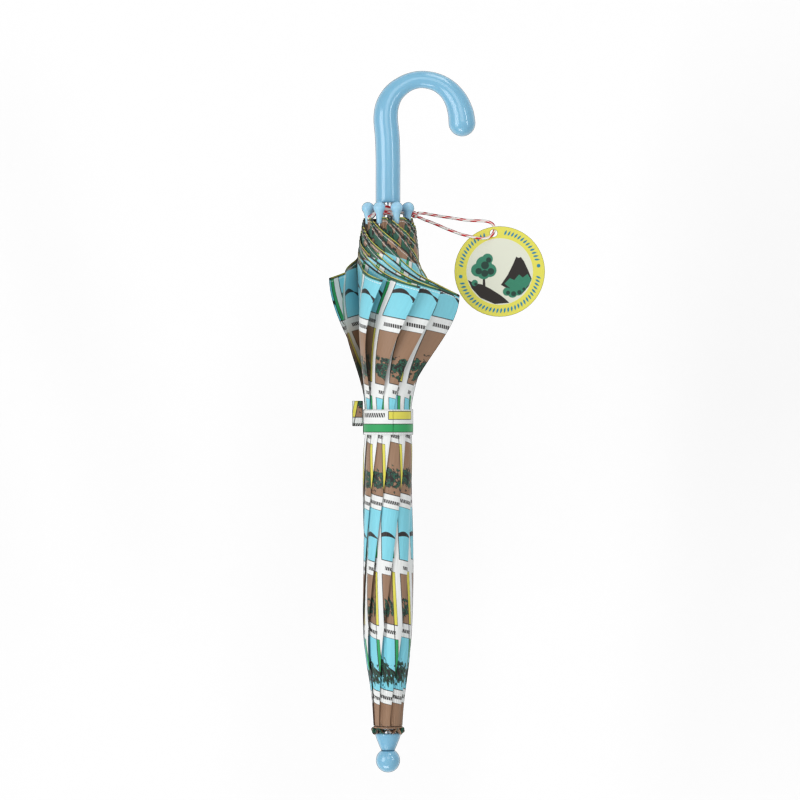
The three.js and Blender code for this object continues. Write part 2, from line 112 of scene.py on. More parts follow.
# Lays flat inks over each other, each [mask, colour], over a first colour.
def addInks(tree, known, colour, layers):
    for mask, ink in layers:
        mixer = addNode(tree, "Mix", {"data_type": "RGBA"}, {0: known[mask]})
        for socket, value in ((6, colour), (7, ink)):
            if isinstance(value, str):
                mixer.inputs[socket].default_value = linear(value)
            else:
                tree.links.new(value, mixer.inputs[socket])
        colour = mixer.outputs[2]
    return colour


# Says which body a finished piece moves with and which CAD node it stands for.
def settle(piece, body, node):
    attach(piece, body)
    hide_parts(node)


def newMaterial(name):
    made = bpy.data.materials.new(name)
    made.use_nodes = True
    made.node_tree.nodes.clear()
    return made, made.node_tree


def closeMaterial(tree, shader):
    output = addNode(tree, "OutputMaterial")
    tree.links.new(shader.outputs[0], output.inputs["Surface"])


# Nickel-plated steel wire and tube, drawn: bright, with faint lines along it and small dull spots.
def platedSteel():
    values = {"colour": "#C3C6C9", "roughness": 0.28, "grain": 900, "bump": 0.05}
    made, tree = newMaterial("platedSteel")
    place3d = addNode(tree, "TexCoord")
    stretch = addNode(tree, "Mapping", {"Scale": (1, 0.05, 1)}, {"Vector": place3d.outputs["Object"]})
    grain = addNode(tree, "TexNoise", {"Scale": values["grain"]}, {"Vector": stretch.outputs[0]})
    rough = addNode(
        tree, "MapRange",
        {"To Min": values["roughness"] - 0.08, "To Max": values["roughness"] + 0.14},
        {"Value": grain.outputs["Fac"]},
    )
    bump = addNode(
        tree, "Bump", {"Strength": values["bump"], "Distance": 0.0002}, {"Height": grain.outputs["Fac"]},
    )
    shader = addNode(
        tree, "BsdfPrincipled",
        {"Base Color": linear(values["colour"]), "Metallic": 1.0},
        {"Roughness": rough.outputs[0], "Normal": bump.outputs[0]},
    )
    closeMaterial(tree, shader)
    return made


# Moulded plastic: gloss for the handle and ferrule, satin and slightly see-through for tips and runner.
def mouldedPlastic(name, values):
    made, tree = newMaterial(name)
    place3d = addNode(tree, "TexCoord")
    cloud = addNode(tree, "TexNoise", {"Scale": 60, "Detail": 3}, {"Vector": place3d.outputs["Object"]})
    colour = addNode(
        tree, "Mix",
        {"data_type": "RGBA", 6: linear(values["dark"]), 7: linear(values["colour"])},
        {0: cloud.outputs["Fac"]},
    )
    skin = addNode(
        tree, "TexNoise", {"Scale": values["skin"], "Detail": 2}, {"Vector": place3d.outputs["Object"]},
    )
    rough = addNode(
        tree, "MapRange",
        {"To Min": values["roughness"] - 0.03, "To Max": values["roughness"] + 0.06},
        {"Value": cloud.outputs["Fac"]},
    )
    bump = addNode(
        tree, "Bump", {"Strength": values["bump"], "Distance": 0.0003}, {"Height": skin.outputs["Fac"]},
    )
    shader = addNode(
        tree, "BsdfPrincipled",
        {
            "IOR": 1.5, "Subsurface Weight": values["glow"], "Subsurface Radius": (0.5, 0.8, 1.0),
            "Subsurface Scale": 0.004, "Coat Weight": values["coat"], "Coat Roughness": 0.05,
        },
        {"Base Color": colour.outputs[2], "Roughness": rough.outputs[0], "Normal": bump.outputs[0]},
    )
    closeMaterial(tree, shader)
    return made


# Printed polyester pongee, woven: a thin, faintly shiny cloth with flat inked panels.
# Its coordinates are millimetres on the cloth: across from the fold, along from the crown, and from the hem.
def printedCloth(values):
    made, tree = newMaterial("printedPongee")
    where = addNode(tree, "Attribute", {"attribute_name": "print"})
    parts = addNode(tree, "SeparateXYZ", None, {0: where.outputs["Vector"]})
    wobble = addNode(tree, "TexNoise", {"Scale": 0.22, "Detail": 3}, {"Vector": where.outputs["Vector"]})
    known = {"across": parts.outputs[0], "along": parts.outputs[1], "hem": parts.outputs[2]}
    broad = addNode(tree, "TexNoise", {"Scale": 0.085, "Detail": 2}, {"Vector": where.outputs["Vector"]})
    known["noise"] = wobble.outputs["Fac"]
    known["broad"] = broad.outputs["Fac"]
    width, height = values["panel"]
    sums = [
        # one row is cut short under the strap
        ("cut", "GREATER_THAN", "along", values["cutFrom"]),
        ("cut", "MULTIPLY", "cut", values["cutBy"]),
        ("moved", "ADD", "along", "cut"),
        ("rowNumber", "SUBTRACT", "moved", values["firstRow"]),
        ("rowNumber", "DIVIDE", "rowNumber", height),
        ("row", "FLOOR", "rowNumber"),
        ("y", "SUBTRACT", "rowNumber", "row"),
        ("y", "MULTIPLY", "y", height),
        ("half", "MULTIPLY", "row", 0.5),
        ("half", "FRACT", "half"),
        ("odd", "MULTIPLY", "half", 2),
        ("shift", "SUBTRACT", values["leanFrom"], "along"),
        ("shift", "MAXIMUM", "shift", 0),
        ("shift", "MULTIPLY", "shift", values["lean"]),
        ("shift", "SUBTRACT", values["start"], "shift"),
        ("x", "ADD", "across", "shift"),
        ("x", "DIVIDE", "x", width),
        ("column", "FLOOR", "x"),
        ("x", "SUBTRACT", "x", "column"),
        ("x", "MULTIPLY", "x", width),
        ("left", "SUBTRACT", "x", values["gutter"]),
        ("right", "SUBTRACT", width, "x"),
        ("low", "SUBTRACT", "y", values["captionBand"]),
        ("high", "SUBTRACT", height, "y"),
        ("side", "MINIMUM", "left", "right"),
        ("end", "MINIMUM", "low", "high"),
        ("inside", "MINIMUM", "side", "end"),
        ("panel", "GREATER_THAN", "inside", 0),
        ("edge", "ABSOLUTE", "inside"),
        ("line", "LESS_THAN", "edge", values["outline"]),
        # the coloured bar down one side of each panel
        ("barPlace", "SUBTRACT", "right", values["bar"]),
        ("bar", "LESS_THAN", "barPlace", 0),
        ("barLine", "ABSOLUTE", "barPlace"),
        ("barLine", "LESS_THAN", "barLine", values["outline"]),
        ("line", "MAXIMUM", "line", "barLine"),
        # a row of slanted dashes in the white band
        ("slant", "MULTIPLY", "y", 0.3),
        ("slant", "ADD", "slant", "x"),
        ("dash", "DIVIDE", "slant", 1.9),
        ("dashNumber", "FLOOR", "dash"),
        ("dash", "FRACT", "dash"),
        ("dash", "GREATER_THAN", "dash", 0.25),
        ("dashLow", "GREATER_THAN", "y", 3.4),
        ("dashHigh", "LESS_THAN", "y", 6.2),
        ("dashFrom", "GREATER_THAN", "x", values["gutter"] + 3),
        ("dashTo", "LESS_THAN", "x", values["gutter"] + 23),
        ("dash", "MULTIPLY", "dash", "dashLow"),
        ("dash", "MULTIPLY", "dash", "dashHigh"),
        ("dash", "MULTIPLY", "dash", "dashFrom"),
        ("dash", "MULTIPLY", "dash", "dashTo"),
        # a long reed that bends across each turquoise panel
        ("bend", "MULTIPLY", "x", 0.13),
        ("bend", "SINE", "bend"),
        ("bend", "MULTIPLY", "bend", 5),
        ("bend", "ADD", "bend", 27),
        ("reed", "SUBTRACT", "y", "bend"),
        ("reed", "ABSOLUTE", "reed"),
        ("reedWide", "MULTIPLY", "x", 0.16),
        ("reedWide", "SINE", "reedWide"),
        ("reedWide", "MULTIPLY", "reedWide", 1.5),
        ("reedWide", "ABSOLUTE", "reedWide"),
        ("reedWide", "ADD", "reedWide", 0.35),
        ("reed", "LESS_THAN", "reed", "reedWide"),
        ("notOdd", "SUBTRACT", 1, "odd"),
        ("reed", "MULTIPLY", "reed", "notOdd"),
        # a clump of leaves in each tan panel, and in the row next to the crown
        ("first", "LESS_THAN", "along", 70),
        ("planted", "MAXIMUM", "odd", "first"),
        ("clumpX", "SUBTRACT", "x", values["clump"][0]),
        ("clumpX", "DIVIDE", "clumpX", values["clump"][2]),
        ("clumpY", "SUBTRACT", "y", values["clump"][1]),
        ("clumpY", "DIVIDE", "clumpY", values["clump"][3]),
        ("clumpX", "MULTIPLY", "clumpX", "clumpX"),
        ("clumpY", "MULTIPLY", "clumpY", "clumpY"),
        ("clump", "ADD", "clumpX", "clumpY"),
        ("ragged", "SUBTRACT", "noise", 0.5),
        ("ragged", "MULTIPLY", "ragged", 7),
        ("clump", "ADD", "clump", "ragged"),
        ("vein", "SUBTRACT", "clump", 0.3),
        ("vein", "ABSOLUTE", "vein"),
        ("leaf", "LESS_THAN", "vein", 0.26),
        ("clump", "LESS_THAN", "clump", 1),
        ("clump", "MULTIPLY", "clump", "planted"),
        ("leaf", "MULTIPLY", "leaf", "planted"),
        ("ink", "MAXIMUM", "clump", "reed"),
        ("notBar", "SUBTRACT", 1, "bar"),
        ("ink", "MULTIPLY", "ink", "notBar"),
        ("ink", "MULTIPLY", "ink", "panel"),
        ("leaf", "MULTIPLY", "leaf", "ink"),
        ("bar", "MULTIPLY", "bar", "panel"),
        ("black", "MAXIMUM", "line", "dash"),
        # beyond the last row: tan ground, thick with dark leaves
        ("border", "GREATER_THAN", "along", values["borderFrom"]),
        ("thicket", "GREATER_THAN", "broad", 0.5),
        ("thicket", "MULTIPLY", "thicket", "border"),
        ("thicketLeaf", "GREATER_THAN", "broad", 0.56),
        ("thicketLeaf", "MULTIPLY", "thicketLeaf", "border"),
        # the hem: a folded edge, blocks of ink along it, then a line of pale stitches
        ("fold", "LESS_THAN", "hem", values["hemFold"]),
        ("length", "DIVIDE", "across", 21),
        ("length", "SINE", "length"),
        ("hemFold", "GREATER_THAN", "length", 0.1),
        ("hemFold", "MULTIPLY", "hemFold", "fold"),
        ("hemBlocks", "LESS_THAN", "hem", values["hemBlocks"]),
        ("block", "DIVIDE", "across", 13),
        ("block", "SINE", "block"),
        ("hemDark", "GREATER_THAN", "block", -0.2),
        ("hemDark", "MULTIPLY", "hemDark", "hemBlocks"),
        ("stitchRow", "SUBTRACT", "hem", values["stitchFrom"]),
        ("stitchRow", "ABSOLUTE", "stitchRow"),
        ("stitchRow", "LESS_THAN", "stitchRow", 0.25),
        ("stitch", "DIVIDE", "across", 2.4),
        ("stitch", "FRACT", "stitch"),
        ("stitch", "LESS_THAN", "stitch", 0.72),
        ("stitch", "MULTIPLY", "stitch", "stitchRow"),
    ]
    addSums(tree, known, sums)
    base = addInks(tree, known, values["turquoise"], [("odd", values["tan"])])
    barColour = addInks(tree, known, values["green"], [("odd", values["yellow"])])
    colour = addInks(tree, known, values["white"], [
        ("panel", base), ("bar", barColour), ("ink", values["black"]), ("leaf", values["leaf"]),
        ("black", values["black"]), ("border", values["tan"]), ("thicket", values["black"]),
        ("thicketLeaf", values["leaf"]), ("hemBlocks", values["leaf"]), ("hemDark", values["black"]),
        ("hemFold", values["yellow"]), ("stitch", values["white"]),
    ])
    # 0.3 mm threads are too fine to show, so the weave is drawn at 0.7 mm.
    weave = addNode(
        tree, "TexWave", {"Scale": 1.4, "bands_direction": "X"}, {"Vector": where.outputs["Vector"]},
    )
    weft = addNode(
        tree, "TexWave", {"Scale": 1.4, "bands_direction": "Y"}, {"Vector": where.outputs["Vector"]},
    )
    crossed = addNode(tree, "Math", {"operation": "ADD"}, {0: weave.outputs["Fac"], 1: weft.outputs["Fac"]})
    crease = addNode(tree, "Mapping", {"Scale": (0.5, 0.06, 0)}, {"Vector": where.outputs["Vector"]})
    crease = addNode(tree, "TexNoise", {"Scale": 1, "Detail": 3}, {"Vector": crease.outputs[0]})
    fine = addNode(tree, "Bump", {"Strength": 0.12, "Distance": 0.0002}, {"Height": crossed.outputs[0]})
    soft = addNode(
        tree, "Bump", {"Strength": 0.45, "Distance": 0.0012},
        {"Height": crease.outputs["Fac"], "Normal": fine.outputs[0]},
    )
    # The cloth colour follows the crease noise that also drives the crease bump: painted shade in the crease
    # hollows and painted light on their ridges.
    shade = addNode(tree, "MapRange", {"To Min": 0.9, "To Max": 1.06}, {"Value": crease.outputs["Fac"]})
    toned = addNode(
        tree, "VectorMath", {"operation": "SCALE"}, {0: colour, "Scale": shade.outputs[0]},
    )
    shader = addNode(
        tree, "BsdfPrincipled",
        {"Roughness": values["roughness"], "IOR": 1.5, "Sheen Weight": 0.25, "Sheen Roughness": 0.4},
        {"Base Color": toned.outputs[0], "Normal": soft.outputs[0]},
    )
    closeMaterial(tree, shader)
    return made


# Two-ply cotton twine, one ply red and one white: matt, fuzzy, with the plies turning round each other.
def bakersTwine():
    values = {"red": "#CC121C", "white": "#EDEBE6", "pitch": 12}
    made, tree = newMaterial("bakersTwine")
    where = addNode(tree, "Attribute", {"attribute_name": "ply"})
    parts = addNode(tree, "SeparateXYZ", None, {0: where.outputs["Vector"]})
    wave = addNode(tree, "Math", {"operation": "DIVIDE"}, {0: parts.outputs[0], 1: values["pitch"]})
    twist = addNode(tree, "Math", {"operation": "ADD"}, {0: wave.outputs[0], 1: parts.outputs[1]})
    share = addNode(tree, "Math", {"operation": "FRACT"}, {0: twist.outputs[0]})
    isRed = addNode(tree, "Math", {"operation": "LESS_THAN"}, {0: share.outputs[0], 1: 0.42})
    colour = addNode(
        tree, "Mix",
        {"data_type": "RGBA", 6: linear(values["white"]), 7: linear(values["red"])}, {0: isRed.outputs[0]},
    )
    place3d = addNode(tree, "TexCoord")
    fibre = addNode(tree, "TexNoise", {"Scale": 2500, "Detail": 4}, {"Vector": place3d.outputs["Object"]})
    bump = addNode(tree, "Bump", {"Strength": 0.5, "Distance": 0.0002}, {"Height": fibre.outputs["Fac"]})
    shader = addNode(
        tree, "BsdfPrincipled",
        {"Roughness": 0.85, "Sheen Weight": 0.1},
        {"Base Color": colour.outputs[2], "Normal": bump.outputs[0]},
    )
    closeMaterial(tree, shader)
    return made


# Laminated board, printed: flat inks under a thin satin film.
def printedBoard(centre, radius, rim):
    values = {"yellow": "#DED656", "cream": "#DBDCCA", "teal": "#1E84A0", "edge": "#EDEBDD"}
    made, tree = newMaterial("printedBoard")
    place3d = addNode(tree, "TexCoord")
    moved = addNode(
        tree, "VectorMath", {"operation": "SUBTRACT", 1: tuple(centre)}, {0: place3d.outputs["Object"]},
    )
    flat = addNode(tree, "VectorMath", {"operation": "MULTIPLY", 1: (1000, 1000, 0)}, {0: moved.outputs[0]})
    reach = addNode(tree, "VectorMath", {"operation": "LENGTH"}, {0: flat.outputs[0]})
    isRim = addNode(
        tree, "Math", {"operation": "GREATER_THAN"}, {0: reach.outputs["Value"], 1: radius - rim},
    )
    colour = addNode(
        tree, "Mix",
        {"data_type": "RGBA", 6: linear(values["cream"]), 7: linear(values["yellow"])}, {0: isRim.outputs[0]},
    )
    grain = addNode(tree, "TexNoise", {"Scale": 900, "Detail": 3}, {"Vector": place3d.outputs["Object"]})
    bump = addNode(tree, "Bump", {"Strength": 0.12, "Distance": 0.0001}, {"Height": grain.outputs["Fac"]})
    rough = addNode(tree, "MapRange", {"To Min": 0.38, "To Max": 0.5}, {"Value": grain.outputs["Fac"]})
    shader = addNode(
        tree, "BsdfPrincipled", {"IOR": 1.5},
        {"Base Color": colour.outputs[2], "Roughness": rough.outputs[0], "Normal": bump.outputs[0]},
    )
    closeMaterial(tree, shader)
    return made


# Flat ink on the board or the strap, with a little uneven coverage.
def flatInk(name, hexText, roughness=0.5):
    made, tree = newMaterial(name)
    place3d = addNode(tree, "TexCoord")
    grain = addNode(tree, "TexNoise", {"Scale": 400, "Detail": 2}, {"Vector": place3d.outputs["Object"]})
    shade = addNode(tree, "MapRange", {"To Min": 0.88, "To Max": 1.05}, {"Value": grain.outputs["Fac"]})
    toned = addNode(
        tree, "VectorMath", {"operation": "SCALE", 0: linear(hexText)[:3]}, {"Scale": shade.outputs[0]},
    )
    shader = addNode(
        tree, "BsdfPrincipled", {"Roughness": roughness}, {"Base Color": toned.outputs[0]},
    )
    closeMaterial(tree, shader)
    return made


inks = {
    "turquoise": "#7FD0E0", "tan": "#96745A", "white": "#E9EAE8", "green": "#1F9A55",
    "yellow": "#DCD24F", "black": "#1A1310", "leaf": "#1C5A45",
}
canopyPrint = {
    **inks, "panel": (30, 53), "firstRow": 15, "cutFrom": strapStation, "cutBy": 15, "start": 25,
    "lean": 0.2,
    "leanFrom": 330, "gutter": 5, "captionBand": 11, "outline": 0.35, "bar": 3.2, "clump": (15, 24, 13, 8),
    "borderFrom": 366.5, "hemFold": 0.6, "hemBlocks": 1.7, "stitchFrom": 3.2, "roughness": 0.5,
}
steel = platedSteel()
glossPlastic = mouldedPlastic("glossPlastic", {
    "colour": "#84BBD6", "dark": "#7AB2D0", "skin": 240, "roughness": 0.16, "bump": 0.06,
    "glow": 0.15, "coat": 0.4,
})
satinPlastic = mouldedPlastic("satinPlastic", {
    "colour": "#A3CFE4", "dark": "#93C3DD", "skin": 500, "roughness": 0.34, "bump": 0.08,
    "glow": 0.35, "coat": 0.1,
})
canopyCloth = printedCloth(canopyPrint)
twineCotton = bakersTwine()
print("materials made")


def makeObject(name, vertices, faces, material, smooth=True, vectors=None):
    mesh = bpy.data.meshes.new(name)
    mesh.from_pydata([tuple(v) for v in vertices], [], [tuple(f) for f in faces])
    mesh.materials.append(material)
    mesh.polygons.foreach_set("use_smooth", [smooth] * len(mesh.polygons))
    for key, values in (vectors or {}).items():
        stored = mesh.attributes.new(key, "FLOAT_VECTOR", "POINT")
        stored.data.foreach_set("vector", np.asarray(values, np.float32).ravel())
    mesh.update()
    made = bpy.data.objects.new(name, mesh)
    bpy.context.scene.collection.objects.link(made)
    return made


def gridFaces(rows, columns, closed):
    faces = []
    for i in range(rows - 1):
        for j in range(columns if closed else columns - 1):
            k = (j + 1) % columns
            faces.append((i * columns + j, i * columns + k, (i + 1) * columns + k, (i + 1) * columns + j))
    return faces


# A smooth line through points, with the extra columns (such as a radius) carried along.
def throughPoints(points, each):
    points = np.asarray(points, float)
    padded = np.vstack([2 * points[0] - points[1], points, 2 * points[-1] - points[-2]])
    made = []
    for i in range(len(points) - 1):
        a, b, c, d = padded[i : i + 4]
        for t in np.arange(each) / each:
            square, cube = 2 * a - 5 * b + 4 * c - d, 3 * b - a - 3 * c + d
            made.append(0.5 * (2 * b + (c - a) * t + square * t**2 + cube * t**3))
    made.append(points[-1])
    return np.array(made)


# A round bar along a line, closed at both ends, with a ply coordinate: millimetres along and turns round.
def sweep(line, radii, sides):
    line = np.asarray(line, float)
    radii = np.broadcast_to(radii, len(line))
    ahead = np.gradient(line, axis=0)
    ahead /= np.linalg.norm(ahead, axis=1)[:, None]
    run = np.concatenate([[0], np.cumsum(np.linalg.norm(np.diff(line, axis=0), axis=1))])
    side = np.array([0.13, 0.05, 1.0])
    turns = np.arange(sides) / sides
    vertices, ply = [], []
    for i, point in enumerate(line):
        side = side - side @ ahead[i] * ahead[i]
        side /= np.linalg.norm(side)
        up = np.cross(ahead[i], side)
        ring = np.outer(np.cos(2 * np.pi * turns), side) + np.outer(np.sin(2 * np.pi * turns), up)
        vertices.append(point + radii[i] * ring)
        ply.append(np.column_stack([np.full(sides, run[i]), turns, turns * 0]))
    vertices = np.vstack(vertices)
    faces = gridFaces(len(line), sides, True)
    faces.append(tuple(range(sides - 1, -1, -1)))
    faces.append(tuple(range(len(vertices) - sides, len(vertices))))
    return vertices, faces, np.vstack(ply), run[-1]


# A turned shape round the shaft's direction from [radius, station] pairs, placed by a function.
def turned(profile, sides):
    profile = np.asarray(profile, float)
    turns = 2 * np.pi * np.arange(sides) / sides
    rings = [np.column_stack([r * np.cos(turns), np.full(sides, y), r * np.sin(turns)]) for r, y in profile]
    faces = gridFaces(len(profile), sides, True)
    return np.vstack(rings), faces


# Twine: the loop that the tag hangs on, from the knot down to the floor, through the hole and back.
twine = {"radius": 1.0, "sides": 12, "each": 12}
twineRoute = [
    (23.9, 414.6, -1.6), (26.6, 413.6, -4.6), (29.2, 412.6, -9), (32.2, 411.6, -13.4), (36.2, 410.3, -16.8),
    (41, 408.4, -18.5), (47.6, 405.5, -18.75), (55, 402.6, -18.5), (62, 400.2, -16.7), (67.5, 398.8, -15),
    (74, 397.5, -14.75), (80, 397.3, -14.75), (83.6, 398.4, -14.75), (86, 400.4, -15.6), (87.2, 402.4, -17.2),
    (87.6, 404.9, -18.6), (87, 408, -18.78), (84.3, 410.4, -18.8), (79.6, 411.6, -18.8), (72, 411.9, -18.8),
    (64, 412.4, -18.8), (56, 413.6, -18.8), (48, 414.8, -18.6), (41, 415.8, -17.2), (35.6, 416.6, -13.8),
    (31.4, 417.2, -9.2), (28, 417.4, -4.6), (24.6, 417.4, -1),
]
twineLine = throughPoints(twineRoute, twine["each"])
twineVertices, twineFaces, twinePly, twineLength = sweep(twineLine, twine["radius"], twine["sides"])
twinePiece = makeObject(
    "twine_loop", place(twineVertices), twineFaces, twineCotton, vectors={"ply": twinePly},
)
settle(twinePiece, "twine", "twine")

# The knot: four turns round the shaft, a strand out between the tips to a small knot, and a loose loop.
knot = {"wrap": 5.9, "growth": 0.55, "turns": 4.1, "from": 415.6, "pitch": 2.0, "thick": 1.15}
around = np.linspace(0, 2 * np.pi * knot["turns"], 90)
wrapReach = knot["wrap"] + knot["growth"] * (knot["turns"] - around / (2 * np.pi))
wrapRise = knot["from"] + knot["pitch"] * around / (2 * np.pi) - 1.6 * np.cos(around)
wrapLine = np.column_stack([wrapReach * np.cos(around), wrapRise, wrapReach * np.sin(around)])
strand = throughPoints([
    (4.4, 418.2, 3.0), (6.6, 418.4, 2.4), (10, 417.8, 1.2), (15, 416.8, 0.4), (19.5, 416.2, 0.1),
    (21.6, 417.6, 1.3), (22.8, 416.4, 0.3), (21.6, 414.6, -1.2), (20, 415.4, 0.6), (21.4, 416.8, 1.5),
    (23.2, 415.4, -0.2), (22, 414.4, -1.0), (20.6, 416.2, -1.2), (22.2, 417.2, -0.4),
], 8)
leftLoop = throughPoints([
    (-4.6, 421, 2.6), (-8, 418.6, 4), (-12.2, 416.4, 6.4), (-15.2, 414.6, 8.4), (-15.8, 412.6, 9.4),
    (-13.2, 413.2, 9.2), (-10, 416.8, 6.6), (-6, 420, 4.4), (-2, 421.6, 5.1),
], 8)
knotVertices, knotFaces, knotPly = [], [], []
for line in (wrapLine, strand, leftLoop):
    vertices, faces, ply, _ = sweep(line, twine["radius"] * knot["thick"], 12)
    offset = sum(len(v) for v in knotVertices)
    knotVertices.append(vertices)
    knotFaces += [tuple(i + offset for i in face) for face in faces]
    knotPly.append(ply)
knotPiece = makeObject(
    "twine_wraps", place(np.vstack(knotVertices)), knotFaces, twineCotton,
    vectors={"ply": np.vstack(knotPly)},
)
settle(knotPiece, "frame", "twine_knot")

# Tag: the board itself is the frame's own, with its print in the material and its motifs laid on top.
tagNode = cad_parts["tag"]
tagLow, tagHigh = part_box("tag")
tagCentre = (tagLow + tagHigh) / 2
tagRadius = (tagHigh.x - tagLow.x) / 2 / mm
tagArt = {"rim": 9.7, "ring": 32.4, "dot": 1.5, "lift": 0.06, "step": 5.3}
tagNode.data.materials.clear()
tagNode.data.materials.append(printedBoard(tagCentre, tagRadius, tagArt["rim"]))

# What is printed on the tag, as flat shapes: x is across it and y is up it, in millimetres from its middle.
def leafShape(root, angle, length, width):
    shape = []
    for share in list(np.linspace(0, 1, 9)) + list(np.linspace(1, 0, 9))[1:-1]:
        side = width * math.sin(math.pi * share**0.8) * (1 if len(shape) < 9 else -1)
        along = share * length
        shape.append((
            root[0] + along * math.cos(angle) - side * math.sin(angle),
            root[1] + along * math.sin(angle) + side * math.cos(angle),
        ))
    return shape


def discShape(centre, radius, sides=20):
    turns = [2 * math.pi * i / sides for i in range(sides)]
    return [(centre[0] + radius * math.cos(a), centre[1] + radius * math.sin(a)) for a in turns]


marks = []
for low, high, hole in ((19, 178, (86, 112)), (199, 358, (0, 0))):
    for degrees in np.arange(low, high, tagArt["step"]):
        if hole[0] < degrees < hole[1]:
            continue
        turn = math.radians(degrees)
        root = ((tagArt["ring"] - 2.2) * math.cos(turn), (tagArt["ring"] - 2.2) * math.sin(turn))
        marks.append(leafShape(root, turn - 0.3, 4.6, 0.8))
for degrees in (187.4, 8.5):
    turn = math.radians(degrees)
    marks.append(discShape((tagArt["ring"] * math.cos(turn), tagArt["ring"] * math.sin(turn)), tagArt["dot"]))
hills = [
    [
        (-26.2, -7), (-21, -9.5), (-15, -10.5), (-8, -14), (0, -19), (4, -22), (8, -25.8), (-4, -26.8),
        (-16, -21.6), (-23, -14),
    ],
    [
        (26.4, -6), (23.5, 1), (20, 8.5), (17.5, 12), (15.6, 11.2), (13.6, 12.2), (11, 6), (6.5, -3),
        (1, -11), (8, -15), (18, -19), (24, -12),
    ],
]
crowns = [(-13, 6, 6.6), (-18.2, 1.2, 5.4), (-8.2, 1.0, 5.6), (-13.2, -0.6, 5.8), (-10, 10.4, 4.4)]
bushes = [(6, -16.6, 3.4), (10.6, -17.4, 4.2), (15.4, -16.2, 3.6), (19.2, -13.6, 2.8), (-20.6, -9.4, 2.6)]
leaves = [discShape((x, y), radius) for x, y, radius in crowns + bushes]
leaves.append([
    (26.2, -7), (23, -2), (19, -5), (16, -2.4), (12, -7), (8.4, -5.4), (4, -10), (9, -14), (18, -17),
    (24, -11),
])
shades = [discShape((x + 0.9, y - 0.9), radius * 0.5, 12) for x, y, radius in crowns + bushes]
trunks = [[(-14.2, -14), (-11.6, -14), (-12.2, -3), (-12.5, 5), (-13.5, 5), (-13.6, -3)]]
tagFace = [polygon for polygon in tagNode.data.polygons if polygon.normal.z > 0.9]
tagUp = sum((polygon.normal * polygon.area for polygon in tagFace), Vector()).normalized()
tagTop = tagCentre + tagUp * (0.6 + tagArt["lift"]) * mm
tagSide = Vector((0, 1, 0)).cross(tagUp).normalized()
tagAhead = tagUp.cross(tagSide)
tagInks = [
    ("tag_border", marks, 0.0, "tealInk", "#1E84A0"),
    ("tag_hills", hills + trunks, 0.0, "blackInk", "#1F1712"),
    ("tag_leaves", leaves, 0.03, "greenInk", "#2F7F62"),
    ("tag_shades", shades, 0.08, "deepInk", "#143A2E"),
]
for name, shapes, lift, inkName, hexText in tagInks:
    vertices, faces = [], []
    for shape in shapes:
        over = lift + 0.001 * len(faces)
        faces.append(tuple(range(len(vertices), len(vertices) + len(shape))))
        vertices += [tagTop + (tagSide * x + tagAhead * y + tagUp * over) * mm for x, y in shape]
    piece = makeObject(name, vertices, faces, flatInk(inkName, hexText, 0.42), smooth=False)
    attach(piece, "tag")
print("twine and tag made")


# Canopy: each gore is two half sheets, from its two ribs to the fold between them, wound round the shaft.
canopy = {
    "ribs": 8, "firstRib": 22.5, "clothFrom": -2.8, "ribHem": 413, "foldAtCrown": 75, "foldAtEar": 202.5,
    "earFrom": 258, "hemRadius": 26.4, "earReach": 57, "earDroop": 0.25, "rows": 74, "columns": 96,
    "pleatDepth": 2.1, "pleats": 44, "puff": 0.9, "ribGap": 1.7, "hemFlat": 0.12, "layer": 0.013,
    "halfDepth": 0.36, "halfAngle": 20.7, "halfWidth": 0.377, "printLean": 0.2, "flat": (0.157, 0.416),
}
# Each gore's hem corner: how much further its fold is wound, how far it stands out, and its station.
corners = [
    {"slip": 42, "reach": 46, "station": 367}, {"slip": 42, "reach": 49, "station": 364},
    {"slip": 4, "reach": 40, "station": 356}, {"slip": 0, "reach": 50, "station": 352},
    {"slip": 0, "reach": 59, "station": 350}, {"slip": 7, "reach": 55, "station": 354},
    {"slip": 28, "reach": 57, "station": 356}, {"slip": 41, "reach": 57, "station": 361},
]
profileStations = [-3, 18, 34, 50, 66, 90, 200, 226, 235.8, 256.2, 268, 285, 330, 370, 409, 416]
profileRadii = [11.6, 13.2, 15.4, 18.4, 20.2, 20.6, 20.2, 19.9, 19.2, 19.2, 19.8, 21, 24, 26.4, 26.2, 24]


def outerRadius(station):
    soft = np.zeros_like(np.asarray(station, float))
    for shift in (-6, -3, 0, 3, 6):
        soft = soft + np.interp(np.asarray(station) + shift, profileStations, profileRadii)
    held = np.interp(station, profileStations, profileRadii)
    atStrap = smoothStep(np.abs(np.asarray(station) - strapStation), 14, 22)
    return soft / 5 * atStrap + held * (1 - atStrap)


def ribRadius(station, k):
    tip = ribLine["tip"] + ribLine["settle"] * math.sin(math.radians(ribAngle(k)))
    radii = [ribLine["hinge"], ribLine["kneeRadius"], tip]
    return np.interp(station, [0, ribLine["knee"], ribLine["length"]], radii)


def ribAngle(k):
    return canopy["firstRib"] + 360 / canopy["ribs"] * k


def foldTurn(k, station):
    corner = corners[k % canopy["ribs"]]
    share = np.clip(np.asarray(station, float) / corner["station"], 0, 1)
    return canopy["foldAtCrown"] + (canopy["foldAtEar"] + corner["slip"] - canopy["foldAtCrown"]) * share


